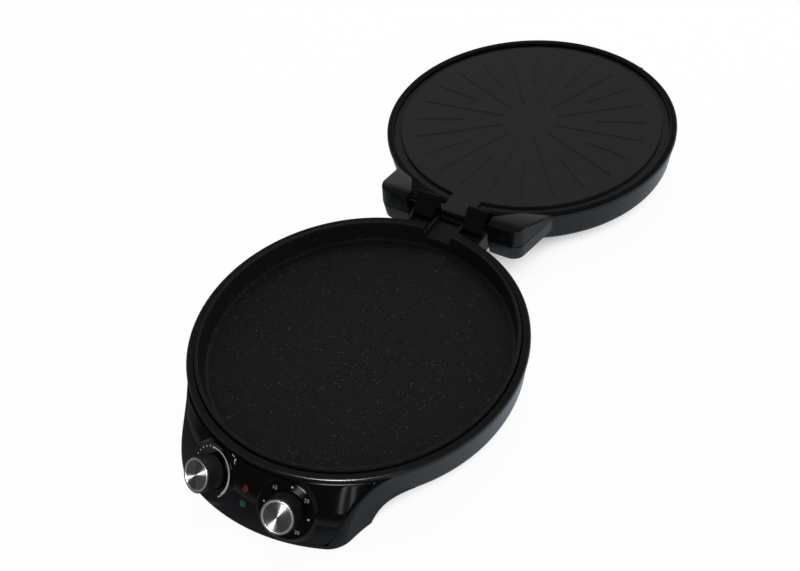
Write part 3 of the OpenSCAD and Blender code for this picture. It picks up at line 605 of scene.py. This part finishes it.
def console_skin():
    """Points and faces of the console: its right half and the mirror image, welded in the middle."""
    columns = sum(HALF_COLUMNS)
    # the foot's height depends on the section's outline and that on the height, so a few rounds
    low = np.full(columns, FOOT)
    for _ in range(6):
        low = foot_height(section(low)[0][:, 1])
    # heights as shares of the way from the top to the soft lower edge
    top = np.linspace(0, 1, 26) ** 0.9
    pocket_end = (WALL_TOP - PANEL_LOW) / (WALL_TOP - FOOT - SOFT)
    above = top[top < pocket_end - 0.01]
    shares = [*above, pocket_end, pocket_end + 0.001, *np.linspace(pocket_end + 0.02, 1, 4)]
    in_pocket = (np.arange(columns) >= sum(HALF_COLUMNS[:3]))[:, None]
    rows = []
    for i, share in enumerate(shares):
        z = WALL_TOP + share * (low + SOFT - WALL_TOP)
        points, out = section(z)
        if i <= len(above):
            points = np.where(in_pocket, points - POCKET * out, points)
        rows.append(np.column_stack([points, z]))
    points, out = section(low + SOFT)
    for q in np.radians([22, 45, 68, 90]):
        z = low + SOFT * (1 - math.sin(q))
        rows.append(np.column_stack([points - SOFT * (1 - math.cos(q)) * out, z]))
    # flat under the foot to the inner edge, and up behind it
    x, y, z = rows[-1].T
    inner = np.minimum(np.sqrt(np.clip(INNER_R**2 - y**2, 0, None)), x)
    for share in np.linspace(0, 1, 7)[1:]:
        rows.append(np.column_stack([x + (inner - x) * share, y, z]))
    rows.append(np.column_stack([inner, y, np.maximum(z, TUB_FLOOR)]))
    # a first row at a radius of 160 mm, which closes the top under the rim
    cover = rows[0].copy()
    cover[:, :2] *= (160 / np.linalg.norm(cover[:, :2], axis=-1))[:, None]
    rows.insert(0, cover)
    quads = grid_quads(len(rows), columns, closed=False)
    right = np.vstack(rows)
    left = right * [-1, 1, 1]
    points, owner = weld(np.vstack([right, left]), 0.001)
    faces = owner[np.vstack([quads, quads[:, ::-1] + len(right)])]
    # a quad that lost one corner is a triangle now, and one that lost more has no area
    kept = faces != np.roll(faces, -1, 1)
    corners = kept.sum(1)
    triangles = faces[corners == 3][kept[corners == 3]].reshape(-1, 3)
    return points, faces[corners == 4].tolist() + triangles.tolist()


def tub_patch():
    """The tub's outline turned through the console's span, where the CAD piece has none."""
    bend = WALL_LOW - EDGE_DOWN * np.sin(np.linspace(0, math.pi / 2, 14)[1:])
    z = np.concatenate([np.linspace(WALL_TOP, WALL_LOW, 8), bend])
    # just inside the CAD piece's outline, and then in under the cover
    r = np.concatenate([tub_radius(z) - 0.05, [130.0]])
    z = np.concatenate([z, [-47.95]])
    a = np.radians(np.linspace(-36, -144, 90))
    height = np.repeat(z[:, None], len(a), 1)
    grid = np.stack([r[:, None] * np.cos(a), r[:, None] * np.sin(a), height], -1)
    return grid.reshape(-1, 3), grid_quads(len(r), len(a), closed=False)


def base_skin():
    """The base shell's merged copy without its plain console, and the stacked sections in its place."""
    offset = [0, BASE_Y, TABLE]
    points, faces = merged("base_shell")
    local = points / MM - offset
    x, y, z = local[faces].mean(1).T
    # the CAD console lies in front of the pan's middle, outside the tub or under its floor
    console = (y < -100) & ((np.hypot(x, y) > tub_radius(z) + 0.3) | (z < -48.2))
    points, faces = joined([(local, faces[~console]), console_skin(), tub_patch()])
    made = mesh_piece("base_shell_skin", (points + offset) * MM, faces, polished_abs, "base")
    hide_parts("base_shell")
    return shaded(made, CRISP)


base_shell = base_skin()
print("base shell", len(base_shell.data.polygons), "faces")

# %% [markdown]
# The panel is one glossy moulding that follows the console's face. Its two dials are flat discs
# that stand out of the curved face, and they run into it over a soft flank. The face is a grid in
# the angle round the pan and the way down the slope. Where a dial's cone stands higher, the grid
# is lifted to it, with a smooth maximum: max(a, b) with its kink rounded over a width w.

# %% The panel with its dials
# the panel's ends down the slope, its corners, and its grid
PANEL_START, PANEL_END, PANEL_CORNER = 2.2, 58.6, 7.0
PANEL_ROWS, PANEL_COLUMNS = 90, 300
# a disc's radius, and the one inside which the face doesn't count
DISC_R, DISC_EDGE = 27.5, 27.9
FACE_START = math.atan2(FACE_TOP[1] - FACE_C[1], FACE_TOP[0] - FACE_C[0])


def on_face(turn, down, depth):
    """World point of the face at the angle turn from its middle, down millimetres along the slope."""
    a = FACE_START - down / FACE_R
    r = FACE_C[0] + (FACE_R - depth) * np.cos(a)
    z = FACE_C[1] + (FACE_R - depth) * np.sin(a)
    return np.stack([r * np.sin(turn), -r * np.cos(turn) + BASE_Y, z + TABLE], -1) * MM


def dial_height(radius, face):
    """Height over a dial's plane: its disc, a flank at 45 degrees, and then the face.

    The corner above the flank is rounded over 0.7 mm and the one below it over 0.6 mm.
    """
    cone = -smooth_max(np.zeros_like(radius), radius - DISC_R, 0.7)
    return smooth_max(np.where(radius < DISC_EDGE, -30.0, face), cone, 0.6)


def lifted(points, plane):
    """Points of the face near a dial, moved along its axis to the dial's surface."""
    m = np.array(plane)
    local = (points - m[:3, 3]) @ m[:3, :3] / MM
    radius = np.hypot(local[..., 0], local[..., 1])
    # no flank reaches 40 mm from its shaft
    lift = np.where(radius < 40, dial_height(radius, local[..., 2]) - local[..., 2], 0)
    return points + lift[..., None] * m[:3, 2] * MM


def panel_grid(inset, depth):
    """The panel's grid, inset from its outline, at a depth under the face."""
    down = np.linspace(PANEL_START + inset, PANEL_END - inset, PANEL_ROWS)
    edge = panel_edge(FACE_C[1] + FACE_R * np.sin(FACE_START - down / FACE_R))
    # the lower corners are rounded: the last rows end a little earlier
    past = np.clip(PANEL_CORNER - (PANEL_END - inset - down), 0, PANEL_CORNER)
    shorter = PANEL_CORNER - np.sqrt(PANEL_CORNER**2 - past**2) + inset
    end = np.arctan2(edge[:, 0], -edge[:, 1]) - shorter / np.linalg.norm(edge, axis=-1)
    turn = end[:, None] * np.linspace(-1, 1, PANEL_COLUMNS)
    return on_face(turn, np.repeat(down[:, None], PANEL_COLUMNS, 1), depth)


def panel_skin():
    """The visible face, then its rounded edge and side wall as rings round the grid's border."""
    main = lifted(lifted(panel_grid(0.5, 0.0), TIMER), THERMOSTAT)
    k = np.arange(PANEL_ROWS * PANEL_COLUMNS).reshape(PANEL_ROWS, PANEL_COLUMNS)
    border = np.concatenate([k[0], k[1:, -1], k[-1, -2::-1], k[-2:0:-1, 0]])
    # the grid's own quads look inwards, so they are turned round
    quads = grid_quads(PANEL_ROWS, PANEL_COLUMNS, closed=False)[:, ::-1]
    points, faces = [main.reshape(-1, 3)], [quads]
    last = border
    # the rings' insets and depths: the edge is rounded, and the wall goes down into the pocket
    for inset, depth in ((0.15, 0.12), (0.0, 0.45), (0.0, 2.4)):
        ring = panel_grid(inset, depth).reshape(-1, 3)[border]
        start = sum(len(p) for p in points)
        now = start + np.arange(len(border))
        points.append(ring)
        faces.append(np.stack([last, np.roll(last, -1), np.roll(now, -1), now], -1))
        last = now
    made = mesh_piece("control_panel_skin", np.vstack(points), np.vstack(faces), panel_abs, "base")
    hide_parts("control_panel")
    return shaded(made, 60)


panel = panel_skin()
print("panel", len(panel.data.polygons), "faces")

# %% [markdown]
# The caps on the knobs are spun aluminium: a lathe leaves fine circles, which draw a light out
# into a bow-tie across the middle. The circles are cut into the profile here as shallow grooves,
# and the shader's anisotropy, which follows the turning direction in a UV map, stands for the
# finer ones between them. The rim is a bright bevel cut with a diamond.

# %% Spun caps
KNOB_H, CAP_R, CAP_T = 19.4, 15.5, 1.4
TURNS = 128
# rows of the profile, from its end, that are the bright bevel
BEVEL_ROWS = 9


def spun_profile():
    """Radius and height in millimetres: a grooved disc, a step down and a bevelled rim."""
    disc_r = CAP_R - 2.6
    # grooves 0.44 mm apart, each with four points, on a disc that is dished by 0.12 mm
    r = np.arange(0.0, disc_r, 0.11)
    groove = 0.012 * np.cos(2 * np.pi * r / 0.44)
    dish = -0.12 * (1 - (r / disc_r) ** 2)
    flat = KNOB_H - 0.35 + dish + groove
    rim = np.array([
        [disc_r, KNOB_H - 0.4], [disc_r + 0.1, KNOB_H - 0.62], [disc_r + 0.3, KNOB_H - 0.62],
        [disc_r + 0.4, KNOB_H - 0.3], [disc_r + 0.7, KNOB_H - 0.05], [disc_r + 1.0, KNOB_H],
        [CAP_R - 0.7, KNOB_H], [CAP_R - 0.35, KNOB_H - 0.1], [CAP_R - 0.12, KNOB_H - 0.4],
        [CAP_R - 0.1, KNOB_H - CAP_T], [0.02, KNOB_H - CAP_T],
    ])
    return np.vstack([np.stack([r, flat], -1)[1:], rim])


def spun_cap(name, plane, body, node):
    """A cap turned from the profile about the shaft, closed by a point at its middle."""
    r, z = (spun_profile() * MM).T
    a = np.arange(TURNS) * 2 * np.pi / TURNS
    rows = len(r)
    height = np.repeat(z[:, None], TURNS, 1)
    rings = np.stack([r[:, None] * np.cos(a), r[:, None] * np.sin(a), height], -1)
    points = np.vstack([rings.reshape(-1, 3), [[0, 0, z[0]], [0, 0, z[-1]]]])
    k = np.arange(TURNS)
    n = (k + 1) % TURNS
    fan = np.stack([np.full(TURNS, rows * TURNS), k, n], -1)
    last = (rows - 1) * TURNS
    under = np.stack([np.full(TURNS, rows * TURNS + 1), last + n, last + k], -1)
    faces = grid_quads(rows, TURNS)[:, ::-1].tolist() + fan.tolist() + under.tolist()
    made = mesh_piece(name, placed(points, plane), faces, spun, body, "cap")
    made.data.materials.append(bright_rim)
    # each corner's u goes round and v goes out, so that u is the turning direction
    loops = np.zeros(len(made.data.loops), np.int32)
    made.data.loops.foreach_get("vertex_index", loops)
    starts = np.zeros(len(made.data.polygons), np.int32)
    totals = np.zeros(len(made.data.polygons), np.int32)
    made.data.polygons.foreach_get("loop_start", starts)
    made.data.polygons.foreach_get("loop_total", totals)
    owner = np.repeat(np.arange(len(starts)), totals)
    centre = loops >= rows * TURNS
    u = np.where(centre, 0.5, (loops % TURNS) / TURNS)
    v = np.where(centre, 0.0, loops // TURNS / rows)
    # a face across the seam takes its low side one turn further
    span = (np.maximum.reduceat(u, starts) - np.minimum.reduceat(u, starts))[owner]
    u = np.where((span > 0.5) & (u < 0.5), u + 1, u)
    # the middle point takes the mean u of its face's other corners
    mean = np.bincount(owner, np.where(centre, 0, u)) / np.maximum(np.bincount(owner, ~centre), 1)
    u = np.where(centre, mean[owner], u)
    turning = made.data.uv_layers.new(name="turned")
    turning.data.foreach_set("uv", np.stack([u, v], -1).astype(np.float32).ravel())
    row = np.minimum.reduceat(np.where(centre, 0, loops // TURNS), starts)
    made.data.polygons.foreach_set("material_index", (row >= rows - BEVEL_ROWS).astype(np.int32))
    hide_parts(node)
    return made


caps = [
    spun_cap("temperature_cap_spun", THERMOSTAT, "temperature_dial", "temperature_cap"),
    spun_cap("timer_cap_spun", TIMER, "timer_dial", "timer_cap"),
]
print("caps", [len(c.data.polygons) for c in caps], "faces")

# %% [markdown]
# The scale on each dial is pad printed in white ink: numbers, dots, a curved arrow and a band
# that swells towards the hot end. Ink stands a few hundredths of a millimetre proud of the
# plastic. Each mark is a thin plate, its outline filled and given that thickness.

# %% Print on the dials
INK = 0.06
# radius of the middles of the numbers and dots round the timer
TIMER_R = 21.9


def plate_of(outline):
    """Points and faces of a thin plate: an outline in metres, in order, and its copy below."""
    n = len(outline)
    top = np.column_stack([outline, np.full(n, INK * MM)])
    k = np.arange(n)
    sides = np.stack([k, n + k, n + (k + 1) % n, (k + 1) % n], -1)
    return np.vstack([top, top * [1, 1, 0]]), [k.tolist(), (n + k[::-1]).tolist(), *sides.tolist()]


def band(angles, radii, widths):
    """Thin plate along an arc: the middle line at radii, with a width at each angle."""
    outer = clock(angles, radii + widths / 2)
    inner = clock(angles, radii - widths / 2)
    n = len(angles)
    top = np.column_stack([np.vstack([outer, inner]), np.full(2 * n, INK * MM)])
    k = np.arange(n - 1)
    faces = np.vstack([
        np.stack([k, k + 1, n + k + 1, n + k], -1)[:, ::-1],
        np.stack([2 * n + k, 2 * n + k + 1, 3 * n + k + 1, 3 * n + k], -1),
        np.stack([k, 2 * n + k, 2 * n + k + 1, k + 1], -1)[:, ::-1],
        np.stack([n + k, n + k + 1, 3 * n + k + 1, 3 * n + k], -1)[:, ::-1],
    ]).tolist()
    faces += [[0, n, 3 * n, 2 * n], [2 * n - 1, 4 * n - 1, 3 * n - 1, n - 1]]
    return np.vstack([top, top * [1, 1, 0]]), faces


def dot(angle, radius, size):
    """A round dot of that diameter."""
    a = np.arange(24) * 2 * np.pi / 24
    return plate_of(clock(angle, radius) + size / 2 * MM * np.stack([np.cos(a), np.sin(a)], -1))


def panel_height(flat, plane):
    """Height of the panel over points of a dial's plane, in metres: the disc, its flank or the face.

    The face lies where the distance to its circle's centre is FACE_R, and a few steps along the
    shaft by the distance that is missing reach it.
    """
    m = np.array(plane)
    height = np.zeros(len(flat))
    for _ in range(8):
        at = flat @ m[:3, :2].T + height[:, None] * m[:3, 2] + m[:3, 3]
        x, y, z = (at / MM - [0, BASE_Y, TABLE]).T
        height -= (np.hypot(np.hypot(x, y) - FACE_C[0], z - FACE_C[1]) - FACE_R) * MM
    return dial_height(np.hypot(flat[:, 0], flat[:, 1]) / MM, height / MM) * MM


def printed(name, parts, plane):
    """One printed piece on a dial: it lies on the panel's surface and faces out of it."""
    points, faces = joined(parts)
    points[:, 2] += panel_height(points[:, :2], plane)
    return mesh_piece(name, placed(points, plane), faces, white_ink, "base", "panel", smooth=False)


def numeral(text, angle):
    """A number that stands upright on the timer's dial, its middle at the clock angle."""
    name = f"timer_number_{text}"
    curve = bpy.data.curves.new(name, "FONT")
    # figures 3.6 mm high, as a figure takes 1 / 1.4 of the font's size, and strokes 0.14 mm thinner
    curve.body, curve.size, curve.extrude = text, 3.6 * MM * 1.4, INK * MM / 2
    curve.align_x, curve.align_y, curve.offset = "CENTER", "CENTER", -0.07 * MM
    curve.resolution_u = 6
    holder = bpy.data.objects.new(name + "_curve", curve)
    bpy.context.scene.collection.objects.link(holder)
    bpy.context.view_layer.update()
    shown = holder.evaluated_get(bpy.context.evaluated_depsgraph_get())
    mesh = bpy.data.meshes.new_from_object(shown)
    bpy.data.objects.remove(holder)
    mesh.transform(TIMER @ Matrix.Translation((*clock(angle, TIMER_R), INK * MM / 2)))
    mesh.name = name
    mesh.materials.clear()
    mesh.materials.append(white_ink)
    made = bpy.data.objects.new(name, mesh)
    bpy.context.scene.collection.objects.link(made)
    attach(made, "base")
    return made


for text, angle in (("10", -36), ("20", 55.4), ("30", 147)):
    numeral(text, angle)
arrow = np.linspace(18, 41, 16)
swell = np.interp(arrow, [18, 27, 33, 37, 41], [0.3, 0.5, 1.3, 0.9, 0.3])
printed("timer_marks", [
    dot(-82, TIMER_R, 1.7), dot(9.7, TIMER_R, 2.0), dot(101, TIMER_R, 2.0),
    band(arrow, np.full(16, 25.4), swell),
], TIMER)
sweep = np.linspace(-22, 124, 60)
swell = np.interp(sweep, [-22, -8, 40, 110, 124], [1.7, 1.1, 1.4, 2.3, 1.9])
printed("temperature_marks", [
    *[dot(-77.3 + 11.7 * i, 23.5, 1.5) for i in range(5)],
    band(sweep, np.full(60, 22.5), swell),
    band(np.linspace(124, 135, 6), np.full(6, 23.2), np.linspace(0.9, 1.4, 6)),
], THERMOSTAT)
flow = np.linspace(0, 1, 10)
printed("temperature_icon", [
    dot(38, 32.0, 1.7), band(27 + 6 * flow, 30.6 + 1.2 * flow, 0.5 + 0.2 * flow),
    band(38 + 7 * flow, 30.8 - 0.8 * flow, 0.9 - 0.5 * flow),
], THERMOSTAT)

# %% [markdown]
# The studio is plain: a pale floor, soft light from above, and a world that is bright along the
# horizon and dim overhead. Glossy black stays black from above and picks up a slate grey from the
# floor on its sides. One small softbox in front draws the bow-ties on the caps, and two strips
# stand in the panel's gloss. The light path makes the floor white for the camera, and the floor
# keeps a faint shadow.

# %% Floor, lights and world


def soft_light(name, place, aim, size, power):
    """A rectangular lamp that looks from place to aim."""
    lamp = bpy.data.lights.new(name, "AREA")
    lamp.shape, lamp.size, lamp.size_y, lamp.energy = "RECTANGLE", size[0], size[1], power
    made = bpy.data.objects.new(name, lamp)
    made.location = place
    made.rotation_mode = "QUATERNION"
    made.rotation_quaternion = (Vector(aim) - Vector(place)).to_track_quat("-Z", "Y")
    bpy.context.scene.collection.objects.link(made)
    return made


floor_mat, tree = material("white sweep")
path = add(tree, "LightPath").outputs
gloss_ray = path["Is Glossy Ray"]
seen = add(tree, "Math", {
    0: path["Is Camera Ray"], 1: path["Is Transmission Ray"]
}, operation="MAXIMUM")
seen = add(tree, "Math", {0: seen, 1: gloss_ray}, operation="MAXIMUM")
matte = add(tree, "BsdfDiffuse", {"Color": linear("#f4f4f4")})
spot = add(tree, "SeparateXYZ", {"Vector": add(tree, "TexCoord").outputs["Object"]}).outputs
# seen in gloss it is a slate grey that gets lighter to the right and to the back
slate = add(tree, "Mix", {
    "Factor": gloss_ray, 6: (1, 1, 1, 1), 7: (0.88, 1, 1.11, 1)
}, data_type="RGBA")
slope = add(tree, "Math", {0: spot["Y"], 1: 0.6, 2: spot["X"]}, operation="MULTIPLY_ADD")
grey = add(tree, "MapRange", {
    "Value": slope, "From Min": -0.28, "From Max": 0.05, "To Min": 0.1, "To Max": 0.42
})
dim = add(tree, "Mix", {"Factor": gloss_ray, "A": 1.0, "B": grey})
glow = add(tree, "Emission", {"Color": slate, "Strength": dim})
# where ambient occlusion finds the object close above, the white glow fades to the floor's own lit diffuse:
# painted shade from the occlusion over the real shadow, which keeps the floor dark deep between the two halves, or
# it would shine through the hinge
open_sky = add(tree, "AmbientOcclusion", {"Distance": 0.12}, samples=8).outputs["AO"]
glow_faded_in_painted_shade = add(tree, "MapRange", {
    "Value": open_sky, "From Min": 0.05, "From Max": 0.3, "To Min": 0.1, "To Max": 0.96
})
share = add(tree, "Math", {0: seen, 1: glow_faded_in_painted_shade}, operation="MULTIPLY")
mixed = add(tree, "MixShader", {0: share, 1: matte, 2: glow})
# from below the floor is clear, so that the underside can be looked at
below = add(tree, "NewGeometry").outputs["Backfacing"]
both = add(tree, "MixShader", {0: below, 1: mixed, 2: add(tree, "BsdfTransparent")})
add(tree, "OutputMaterial", {"Surface": both})
FLOOR = 12.0 * np.array([[-1, -1, 0], [1, -1, 0], [1, 1, 0], [-1, 1, 0]])
mesh_piece("floor", FLOOR, [[0, 1, 2, 3]], floor_mat, None)

over = soft_light("over", (-0.5, 1.2, 2.4), (0, 0, 0), (2.0, 1.6), 46)
side = soft_light("side", (2.4, -0.8, 1.3), (0, 0, 0), (0.9, 1.2), 14)
for lamp in (over, side):
    lamp.visible_glossy = False
front = soft_light("front", (0.292, -1.729, 1.95), (0, -0.37, 0.05), (0.6, 0.6), 75)
# flags keep the front light to the caps, the knobs and the rim
lit_ones = bpy.data.collections.new("lit by the front light")
for piece in (*caps, nodes["temperature_knob"], nodes["timer_knob"], nodes["base_frame"]):
    lit_ones.objects.link(piece)
front.light_linking.receiver_collection = lit_ones
# the strips aim at the right half of the panel, where the picture shows them
for i, reach in enumerate((1.5, 1.62)):
    place = (0.43 + 0.16 * i, -0.33 - 0.72 * reach, 0.05 + 0.62 * reach)
    soft_light(f"strip_{i}", place, (0.088, -0.333, 0.05), (0.05, 1.4), 0.32)

world = bpy.data.worlds.new("studio")
world.use_nodes = True
tree = world.node_tree
tree.nodes.clear()
path = add(tree, "LightPath").outputs
seen = add(tree, "Math", {
    0: path["Is Camera Ray"], 1: path["Is Transmission Ray"]
}, operation="MAXIMUM")
way = add(tree, "SeparateXYZ", {"Vector": add(tree, "TexCoord").outputs["Generated"]}).outputs
# in gloss the room has a bright horizon, light walls behind and beside, and a dark front
horizon = add(tree, "MapRange", {
    "Value": way["Z"], "From Min": 0.0, "From Max": 0.14, "To Min": 0.35, "To Max": 0.05
})
behind = add(tree, "MapRange", {"Value": way["Y"], "From Min": -0.5, "From Max": -0.1})
fall = add(tree, "MapRange", {
    "Value": way["Z"], "From Min": 0.15, "From Max": 0.6, "To Min": 0.45, "To Max": 0.0
})
walls = add(tree, "Math", {0: behind, 1: fall}, operation="MULTIPLY")
room = add(tree, "Math", {0: horizon, 1: walls}, operation="MAXIMUM")
sky = add(tree, "Mix", {"Factor": path["Is Glossy Ray"], "A": 0.35, "B": room})
level = add(tree, "Mix", {"Factor": seen, "A": sky, "B": 1.0})
back = add(tree, "Background", {"Color": (1, 1, 1, 1), "Strength": level})
add(tree, "OutputWorld", {"Surface": back})
bpy.context.scene.world = world
bpy.context.scene.view_settings.view_transform = "Standard"
